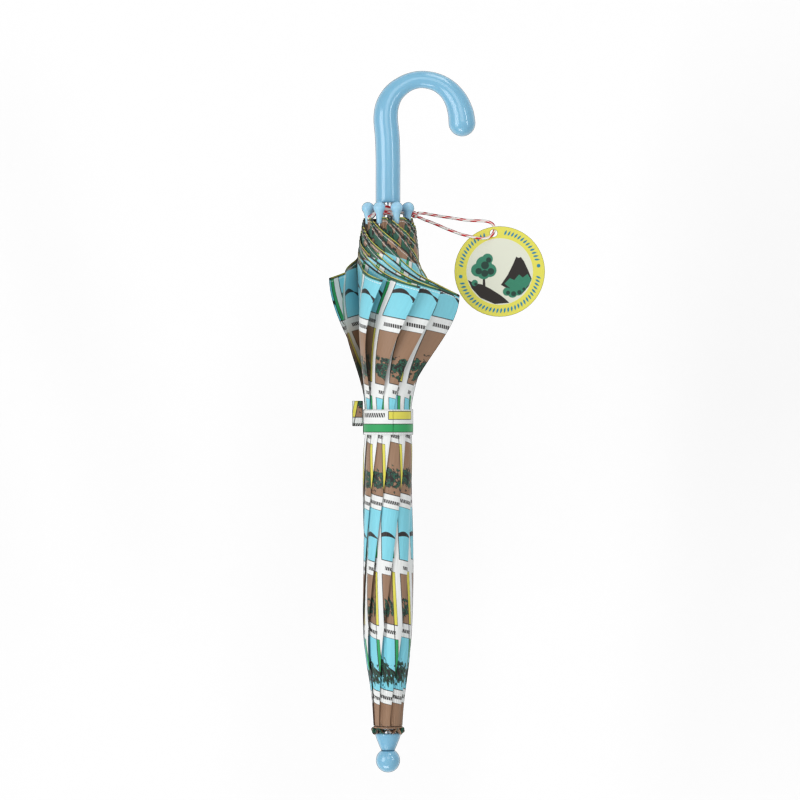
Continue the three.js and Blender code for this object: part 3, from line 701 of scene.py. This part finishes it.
def pleatedPoint(k, beta, station, part):
    turn = foldTurn(k, station)
    begin = 0 if part == "outer" else 45
    rib = k if part == "outer" else (k - 1) % canopy["ribs"]
    u = np.clip((beta - begin) / (turn - begin), 0, 1)
    corner = corners[k]
    outer = outerRadius(station)
    inner = ribRadius(station, rib) + canopy["ribGap"]
    inner = np.minimum(inner, outer - 1.2)
    power = 1.5 + 3 * smoothStep(station, 320, 392)
    grown = 1 - (1 - u) ** power
    angle = ribAngle(k) - beta
    spare = outer - inner
    pleat = np.minimum(canopy["pleatDepth"], 0.42 * spare) * (1 - grown) * smoothStep(u, 0, 0.08)
    pleat = pleat * np.sin(np.radians(angle) * canopy["pleats"])
    radius = inner + spare * grown + pleat
    # Each flap is slightly full between its own fold and the one that covers it.
    index = np.arange(canopy["ribs"] + 1)
    folds = np.stack([ribAngle(i) - foldTurn(i, station) for i in index])
    full = np.zeros_like(radius)
    for low, high in zip(folds[:-1], folds[1:]):
        share = np.mod(angle - low, 360) / (high - low)
        full = np.where(share < 1, np.sin(np.pi * np.clip(share, 0, 1)) ** 0.7, full)
    calm = smoothStep(np.abs(station - strapStation), 9, 26) * smoothStep(station, 4, 40)
    radius = radius + canopy["puff"] * (full - 0.5) * calm * grown
    radius = radius + 0.35 * calm * grown * np.sin(np.radians(angle) * 3 + station * 0.05 + 1.3)
    # The layers lie one under the other, and the inner half under the outer half.
    under = turn - beta
    calmDepth = canopy["layer"] * under * np.minimum(1, spare / 8)
    if part == "inner":
        calmDepth = calmDepth + canopy["halfDepth"] * smoothStep(under, 0, 5)
    radius = radius - calmDepth
    spread = smoothStep(station, canopy["earFrom"], corner["station"])
    share = np.clip(1 - (turn - beta) / 62, 0, 1)
    radius = radius + spread * (corner["reach"] - outer) * share**1.8
    x = radius * np.cos(np.radians(angle))
    z = radius * np.sin(np.radians(angle))
    lift = np.clip((radius - canopy["hemRadius"]) / (canopy["earReach"] - canopy["hemRadius"]), 0, 1)
    z = np.where(z > 0, z * (1 - canopy["earDroop"] * lift), z)
    floor = 0.3 + 1.1 * (1 - smoothStep(np.abs(station - strapStation), 10.5, 13))
    keep = np.minimum(1, (axisHeight - floor - inner) / np.maximum(outer - inner, 0.1))
    depth = np.clip(outer - radius, 0, None) * np.maximum(keep, 0.05)
    z = np.maximum(z, -axisHeight + floor + depth)
    return np.stack([x, station + 0 * x, z], -1)


def hemStation(k, u):
    corner = corners[k]["station"]
    share = np.clip((u - canopy["hemFlat"]) / (1 - canopy["hemFlat"]), 0, 1)
    return corner + (canopy["ribHem"] - corner) * (1 - share)


# Which way and where a half sheet stops following its rib and follows its fold.
def handover(k, part):
    turn = canopy["foldAtEar"] + corners[k]["slip"]
    middle = (canopy["foldAtCrown"] + turn) / 2
    half = (turn - canopy["foldAtCrown"]) / 2
    crownReach = 12.6 * math.cos(math.radians(half))
    lean = 0.0 if part == "outer" else 0.02
    if part == "outer":
        end = crownReach * 0.95
        start = end - 7.6
    else:
        middle += 5
        end = crownReach * 0.8 + 2.8
        start = end - 4.6
    way = math.radians(ribAngle(k) - middle)
    direction = np.array([math.cos(way), -lean, math.sin(way)])
    centre = np.array([0, 200 if lean else 0, 0])
    squared = direction @ direction
    return centre + direction * start / squared, centre + direction * end / squared


def halfGore(k, part):
    begin = 0 if part == "outer" else 45
    start, end = handover(k, part)
    rows, columns = canopy["rows"], canopy["columns"]
    shareDown = np.linspace(0, 1, rows)
    # First guess the stations, then spread the columns so that they crowd where the sheet hands over.
    uRow = np.tile(np.linspace(0, 1, columns), (rows, 1))
    for _ in range(3):
        stations = canopy["clothFrom"] + shareDown[:, None] * (hemStation(k, uRow) - canopy["clothFrom"])
        turn = foldTurn(k, stations)
        beta = begin + uRow * (turn - begin)
        found = pleatedPoint(k, beta, stations, part)
        weight = smoothStep(((found - start) @ (end - start)) / ((end - start) @ (end - start)), 0, 1)
        step = np.linalg.norm(np.diff(found, axis=1), axis=2)
        cost = step / step.sum(1, keepdims=True) + 0.45 * np.abs(np.diff(weight, axis=1))
        reached = np.concatenate([np.zeros((rows, 1)), np.cumsum(cost, axis=1)], axis=1)
        reached /= reached[:, -1:]
        even = np.linspace(0, 1, columns)
        uRow = np.stack([np.interp(even, reached[i], uRow[i]) for i in range(rows)])
    stations = canopy["clothFrom"] + shareDown[:, None] * (hemStation(k, uRow) - canopy["clothFrom"])
    beta = begin + uRow * (foldTurn(k, stations) - begin)
    points = pleatedPoint(k, beta, stations, part)
    step = np.linalg.norm(np.diff(points, axis=1), axis=2)
    fromFold = np.concatenate([np.cumsum(step[:, ::-1], axis=1)[:, ::-1], np.zeros((rows, 1))], axis=1)
    halfWidth = canopy["halfWidth"] * np.maximum(stations, 1)
    spare = np.maximum(halfWidth[:, :1] - fromFold[:, :1], 0)
    lateral = fromFold + spare * smoothStep(fromFold / np.maximum(fromFold[:, :1], 1), 0.45, 1)
    along = stations - canopy["printLean"] * lateral
    sign = -1 if part == "outer" else 1
    fromHem = hemStation(k, uRow) - stations
    printed = np.stack([sign * lateral, along, fromHem], -1)
    faces = gridFaces(rows, columns, False)
    if part == "inner":
        faces = [face[::-1] for face in faces]
    made = makeObject(
        f"gore_{k + 1}_{part}_sheet", place(points.reshape(-1, 3)), faces, canopyCloth,
        vectors={"print": printed.reshape(-1, 3)},
    )
    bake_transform(made)
    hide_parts(f"gore_{k + 1}_{part}")


for k in range(canopy["ribs"]):
    for part in ("outer", "inner"):
        halfGore(k, part)
print("canopy made")


# Handle: a crook that thins over the top of the bend, moulded in one with a round knob.
handle = {"sides": 48, "each": 6, "seat": 425.6}
crookPath = [
    (0, 0.9, 9.9), (0, 18, 9.9), (0, 36, 9.9), (-0.6, 54, 9.9), (-1.9, 69.5, 9.8), (-0.4, 80.5, 9.3),
    (4.8, 90.2, 8.3), (13.4, 97.2, 7.3), (22, 100.6, 6.9), (30.6, 101.1, 6.9), (40.6, 98.6, 7.3),
    (49.6, 92.6, 8.2), (56, 83.8, 9.4), (59.6, 73.8, 10.4), (60.7, 65.6, 10.8),
]
crookLine = throughPoints([(x, y, 0, r) for x, y, r in crookPath], handle["each"])
rounding = [(0, 0, 0, 7.6), (0, 0.12, 0, 8.9), (0, 0.45, 0, 9.6)]
endX, endY, _, endRadius = crookLine[-1]
knob = [
    (endX, endY - endRadius * math.sin(a), 0, max(endRadius * math.cos(a), 0.25))
    for a in np.radians([10, 20, 30, 40, 50, 60, 69, 77, 84, 88.5])
]
crookLine = np.vstack([rounding, crookLine, knob])
handleVertices, handleFaces, _, _ = sweep(
    crookLine[:, :3] + np.array([0, handle["seat"], 0]), crookLine[:, 3], handle["sides"],
)
handlePiece = makeObject("crook_handle", place(handleVertices), handleFaces, glossPlastic)
settle(handlePiece, "frame", "handle")

# Ferrule: a cone, a waist and a ball.
ferrule = {"base": -9, "ball": 9.7, "ballAt": -31.4, "sides": 56}
ferruleProfile = [(4.3, ferrule["base"]), (9.6, ferrule["base"]), (10.1, ferrule["base"] - 0.4)]
ferruleProfile += [(10.2, -10.2), (9.9, -11.6), (9.1, -14), (7.9, -17), (6.7, -20)]
ferruleProfile += [(5.7, -22.2), (5.25, -23.4)]
for angle in np.radians(np.linspace(57, -88, 22)):
    rise = ferrule["ballAt"] + ferrule["ball"] * math.sin(angle)
    ferruleProfile.append((ferrule["ball"] * math.cos(angle), rise))
ferruleVertices, ferruleFaces = turned(ferruleProfile, ferrule["sides"])
ferruleFaces.append(tuple(range(len(ferruleVertices) - ferrule["sides"], len(ferruleVertices))))
ferrulePiece = makeObject("ferrule_moulding", place(ferruleVertices), ferruleFaces, glossPlastic)
settle(ferrulePiece, "frame", "ferrule")

# Rib tips: a ball on a tapered neck, moulded in one.
tip = {"ball": 4.8, "ballAt": 4, "sides": 32}
tipProfile = [(1.5, -9), (2.1, -9), (2.35, -8.4), (2.45, -6), (2.6, -3.6), (2.9, -1.4), (3.3, -0.1)]
for angle in np.radians(np.linspace(-42, 88, 18)):
    tipProfile.append((tip["ball"] * math.cos(angle), tip["ballAt"] + tip["ball"] * math.sin(angle)))
for k in range(canopy["ribs"]):
    vertices, faces = turned(tipProfile, tip["sides"])
    faces.append(tuple(range(len(vertices) - tip["sides"], len(vertices))))
    tipRadius = float(ribRadius(ribLine["length"], k))
    lean = math.atan2(tipRadius - ribLine["kneeRadius"], ribLine["length"] - ribLine["knee"])
    out = vertices[:, 0] * math.cos(lean) + vertices[:, 1] * math.sin(lean)
    down = -vertices[:, 0] * math.sin(lean) + vertices[:, 1] * math.cos(lean)
    angle = math.radians(ribAngle(k))
    x = (out + tipRadius) * math.cos(angle) - vertices[:, 2] * math.sin(angle)
    z = (out + tipRadius) * math.sin(angle) + vertices[:, 2] * math.cos(angle)
    ball = place(np.column_stack([x, down + ribLine["length"], z]))
    piece = makeObject(f"rib_ball_{k + 1}", ball, faces, satinPlastic)
    settle(piece, f"rib_{k + 1}", f"rib_tip_{k + 1}")
print("handle, ferrule and tips made")

# Rosette: printed cloth gathered into a frill at the crown.
rosette = {"inner": 4.4, "radius": 13, "waves": 9, "wave": 2.1, "middle": -6.6, "rings": 14, "sides": 176}
turns = 2 * np.pi * np.arange(rosette["sides"]) / rosette["sides"]
frill, frillPrint = [], []
for share in np.linspace(0, 1, rosette["rings"]):
    reach = rosette["inner"] + (rosette["radius"] - rosette["inner"]) * share
    reach = reach + 0.55 * share * np.cos(turns * rosette["waves"] * 2 + 0.7)
    reach = reach + 0.3 * share * np.sin(turns * 5)
    ripple = np.sin(turns * rosette["waves"]) * (1 + 0.3 * np.sin(turns * 3))
    rise = rosette["middle"] + rosette["wave"] * share**0.7 * ripple
    frill.append(np.column_stack([reach * np.cos(turns), rise, reach * np.sin(turns)]))
    frillPrint.append(np.column_stack([turns * 30 + 7, 372 + share * 30 + 0 * turns, 30 + 0 * turns]))
rosettePiece = makeObject(
    "crown_frill", place(np.vstack(frill)), gridFaces(rosette["rings"], rosette["sides"], True), canopyCloth,
    vectors={"print": np.vstack(frillPrint)},
)
thick = rosettePiece.modifiers.new("thickness", "SOLIDIFY")
thick.thickness = 0.4 * mm
settle(rosettePiece, "frame", "crown_rosette")

# Strap: polyester webbing from the sewn end, under the bundle and over the top, in lengths hinged end to end.
strap = {"station": strapStation, "width": 20.4, "radius": 20.5, "thickness": 0.8}
strapLengths = [
    ("strap_sewn", "gore_1_outer", 187, 231), ("strap_under", "strap_under", 230, 346),
    ("strap_side", "strap_side", 345, 439), ("strap_over", "strap_over", 437, 528),
]
strapPrint = {
    **inks, "green band": (2, 8.6), "yellow block": (137, 160.5, 12.4, 19), "marks": (163.5, 186, 14, 17.6),
    "outline": 0.3, "stitchAt": (1.0, 19.6), "thread": "#C9CFCB",
}


# Printed polyester webbing: white ground, one long green band, a yellow block, slanted marks and stitches.
def printedWebbing(values):
    made, tree = newMaterial("printedWebbing")
    where = addNode(tree, "Attribute", {"attribute_name": "print"})
    parts = addNode(tree, "SeparateXYZ", None, {0: where.outputs["Vector"]})
    known = {"along": parts.outputs[0], "up": parts.outputs[1]}
    bandLow, bandHigh = values["green band"]
    blockFrom, blockTo, blockLow, blockHigh = values["yellow block"]
    marksFrom, marksTo, marksLow, marksHigh = values["marks"]
    addSums(tree, known, [
        ("bandSide", "SUBTRACT", "up", (bandLow + bandHigh) / 2),
        ("bandSide", "ABSOLUTE", "bandSide"),
        ("bandSide", "SUBTRACT", (bandHigh - bandLow) / 2, "bandSide"),
        ("band", "GREATER_THAN", "bandSide", 0),
        ("blockX", "SUBTRACT", "along", (blockFrom + blockTo) / 2),
        ("blockX", "ABSOLUTE", "blockX"),
        ("blockX", "SUBTRACT", (blockTo - blockFrom) / 2, "blockX"),
        ("blockY", "SUBTRACT", "up", (blockLow + blockHigh) / 2),
        ("blockY", "ABSOLUTE", "blockY"),
        ("blockY", "SUBTRACT", (blockHigh - blockLow) / 2, "blockY"),
        ("blockSide", "MINIMUM", "blockX", "blockY"),
        ("block", "GREATER_THAN", "blockSide", 0),
        ("bandLine", "ABSOLUTE", "bandSide"),
        ("blockLine", "ABSOLUTE", "blockSide"),
        ("line", "MINIMUM", "bandLine", "blockLine"),
        ("line", "LESS_THAN", "line", values["outline"]),
        ("mark", "MULTIPLY", "up", -0.35),
        ("mark", "ADD", "mark", "along"),
        ("mark", "DIVIDE", "mark", 2.1),
        ("mark", "FRACT", "mark"),
        ("mark", "LESS_THAN", "mark", 0.66),
        ("marksA", "GREATER_THAN", "along", marksFrom),
        ("marksB", "LESS_THAN", "along", marksTo),
        ("marksC", "GREATER_THAN", "up", marksLow),
        ("marksD", "LESS_THAN", "up", marksHigh),
        ("mark", "MULTIPLY", "mark", "marksA"),
        ("mark", "MULTIPLY", "mark", "marksB"),
        ("mark", "MULTIPLY", "mark", "marksC"),
        ("mark", "MULTIPLY", "mark", "marksD"),
        ("black", "MAXIMUM", "mark", "line"),
        ("seamLow", "SUBTRACT", "up", values["stitchAt"][0]),
        ("seamLow", "ABSOLUTE", "seamLow"),
        ("seamHigh", "SUBTRACT", "up", values["stitchAt"][1]),
        ("seamHigh", "ABSOLUTE", "seamHigh"),
        ("seam", "MINIMUM", "seamLow", "seamHigh"),
        ("seam", "LESS_THAN", "seam", 0.22),
        ("stitch", "DIVIDE", "along", 2.4),
        ("stitch", "FRACT", "stitch"),
        ("stitch", "LESS_THAN", "stitch", 0.7),
        ("stitch", "MULTIPLY", "stitch", "seam"),
    ])
    colour = addInks(tree, known, values["white"], [
        ("band", values["green"]), ("block", values["yellow"]), ("black", values["black"]),
        ("stitch", values["thread"]),
    ])
    rib = addNode(
        tree, "TexWave", {"Scale": 1.3, "bands_direction": "Y"}, {"Vector": where.outputs["Vector"]},
    )
    bump = addNode(tree, "Bump", {"Strength": 0.15, "Distance": 0.0002}, {"Height": rib.outputs["Fac"]})
    shader = addNode(
        tree, "BsdfPrincipled", {"Roughness": 0.6, "Sheen Weight": 0.25},
        {"Base Color": colour, "Normal": bump.outputs[0]},
    )
    closeMaterial(tree, shader)
    return made


strapCloth = printedWebbing(strapPrint)
for node, body, low, high in strapLengths:
    angles = np.radians(np.arange(low, high + 0.01, 2.0))
    section = []
    for across in np.linspace(-0.5, 0.5, 15):
        section.append((strap["radius"] - 0.1 * abs(2 * across) ** 6, across))
    for across in np.linspace(0.5, -0.5, 15):
        section.append((strap["radius"] - strap["thickness"], across))
    rings, printed = [], []
    for angle in angles:
        for reach, across in section:
            x = reach * math.cos(angle)
            z = max(reach * math.sin(angle), -axisHeight + (strap["radius"] - reach) + 0.02)
            rings.append((x, strap["station"] + across * strap["width"], z))
            printed.append((strap["radius"] * angle, (across + 0.5) * strap["width"], 30))
    faces = gridFaces(len(angles), len(section), True)
    piece = makeObject(node + "_band", place(rings), faces, strapCloth, vectors={"print": printed})
    settle(piece, body, node)

# The strap's loose end, folded back on itself.
tabLow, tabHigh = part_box("strap_tab")
tab = {"rounds": 10, "out": 8.2, "half": 0.6, "pinch": 0.15, "tilt": 12, "across": 17}
loop = []
for share in np.linspace(0, 1, tab["rounds"]):
    loop.append((share * tab["out"], tab["half"] - tab["pinch"] * math.sin(math.pi * share)))
for angle in np.radians(np.linspace(80, -80, 9)):
    loop.append((tab["out"] + 0.55 * math.cos(angle) - 0.4, tab["half"] * math.sin(angle)))
for share in np.linspace(1, 0, tab["rounds"]):
    loop.append((share * tab["out"], -tab["half"] + tab["pinch"] * math.sin(math.pi * share)))
loop = np.array(loop)
lean = math.radians(tab["tilt"])
tabVertices, tabPrint = [], []
for across in np.linspace(0, 1, tab["across"]):
    wide = tabLow.y / mm + across * (tabHigh.y - tabLow.y) / mm
    x = tabHigh.x / mm - loop[:, 0] * math.cos(lean) - loop[:, 1] * math.sin(lean)
    z = (tabLow.z + tabHigh.z) / 2 / mm - axisHeight + (loop[:, 0] - 4.1) * math.sin(lean) + loop[:, 1]
    tabVertices.append(np.column_stack([x, wide - crownY / mm + 0 * x, z]))
    tabPrint.append(np.column_stack([loop[:, 0] + 16, 72 + across * 20 + 0 * x, 30 + 0 * x]))
tabFaces = gridFaces(tab["across"], len(loop), True)
tabFaces.append(tuple(range(len(loop) - 1, -1, -1)))
tabFaces.append(tuple(range((tab["across"] - 1) * len(loop), tab["across"] * len(loop))))
tabPiece = makeObject(
    "strap_tab_fold", place(np.vstack(tabVertices)), tabFaces, canopyCloth,
    vectors={"print": np.vstack(tabPrint)},
)
settle(tabPiece, "strap_over", "strap_tab")
print("rosette and strap made")

# The steel and the runner keep the frame's own shapes, shaded smooth, with their finishes.
backing = flatInk("backingCloth", inks["tan"], 0.7)
for name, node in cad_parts.items():
    if node.hide_render or name == "tag":
        continue
    isPlastic = name == "runner"
    isCloth = name == "crown_patch"
    node.data.materials.clear()
    node.data.materials.append(satinPlastic if isPlastic else backing if isCloth else steel)
    node.data.polygons.foreach_set("use_smooth", [True] * len(node.data.polygons))
    node.data.set_sharp_from_angle(angle=math.radians(35))

# Floor and light: a pale floor, low enough to clear the open canopy, and five soft boxes.
studio = {"floor": -0.41, "half": 6, "glow": 0.4}
floorMesh = bpy.data.meshes.new("floor")
around = ((-1, -1), (1, -1), (1, 1), (-1, 1))
floorCorners = [(x * studio["half"], y * studio["half"], studio["floor"]) for x, y in around]
floorMesh.from_pydata(floorCorners, [], [(0, 1, 2, 3)])
floorObject = bpy.data.objects.new("floor", floorMesh)
bpy.context.scene.collection.objects.link(floorObject)
floorMaterial, floorTree = newMaterial("palePaper")
closeMaterial(floorTree, addNode(
    floorTree, "BsdfPrincipled", {"Base Color": linear("#F7F7F5"), "Roughness": 0.9},
))
floorMesh.materials.append(floorMaterial)
floorObject.is_shadow_catcher = True

world = bpy.data.worlds.new("studio")
bpy.context.scene.world = world
world.use_nodes = True
world.node_tree.nodes.clear()
ray = addNode(world.node_tree, "LightPath")
seen = addNode(world.node_tree, "Background", {"Color": (1, 1, 1, 1), "Strength": 1.0})
glow = addNode(world.node_tree, "Background", {"Color": (0.95, 0.98, 1, 1), "Strength": studio["glow"]})
both = addNode(
    world.node_tree, "MixShader", None,
    {0: ray.outputs["Is Camera Ray"], 1: glow.outputs[0], 2: seen.outputs[0]},
)
worldOutput = addNode(world.node_tree, "OutputWorld")
world.node_tree.links.new(both.outputs[0], worldOutput.inputs["Surface"])

softBoxes = [
    {"name": "left", "at": (-1.0, 0.05, 0.95), "size": (0.8, 1.1), "power": 10.5},
    {"name": "strip", "at": (0.74, 0.2, 0.7), "size": (0.09, 0.9), "power": 2.2},
    {"name": "top", "at": (0.1, 0.7, 1.6), "size": (0.8, 0.8), "power": 3.8},
    {"name": "front", "at": (-0.5, -1.9, 0.7), "size": (1.2, 0.8), "power": 15},
    {"name": "back", "at": (0.6, 2.1, 0.6), "size": (1.2, 0.8), "power": 12},
]
for box in softBoxes:
    light = bpy.data.lights.new("softbox_" + box["name"], "AREA")
    light.shape = "RECTANGLE"
    light.size, light.size_y = box["size"]
    light.energy = box["power"]
    lamp = bpy.data.objects.new(light.name, light)
    lamp.location = box["at"]
    facing = Vector(box["at"]) - Vector((0, 0.05, 0.02))
    across = Vector((0, 1, 0.3)).cross(facing).normalized()
    up = facing.normalized().cross(across)
    lamp.rotation_mode = "QUATERNION"
    lamp.rotation_quaternion = Matrix((across, up, facing.normalized())).transposed().to_quaternion()
    bpy.context.scene.collection.objects.link(lamp)
bpy.context.scene.view_settings.view_transform = "Standard"
print("studio made")
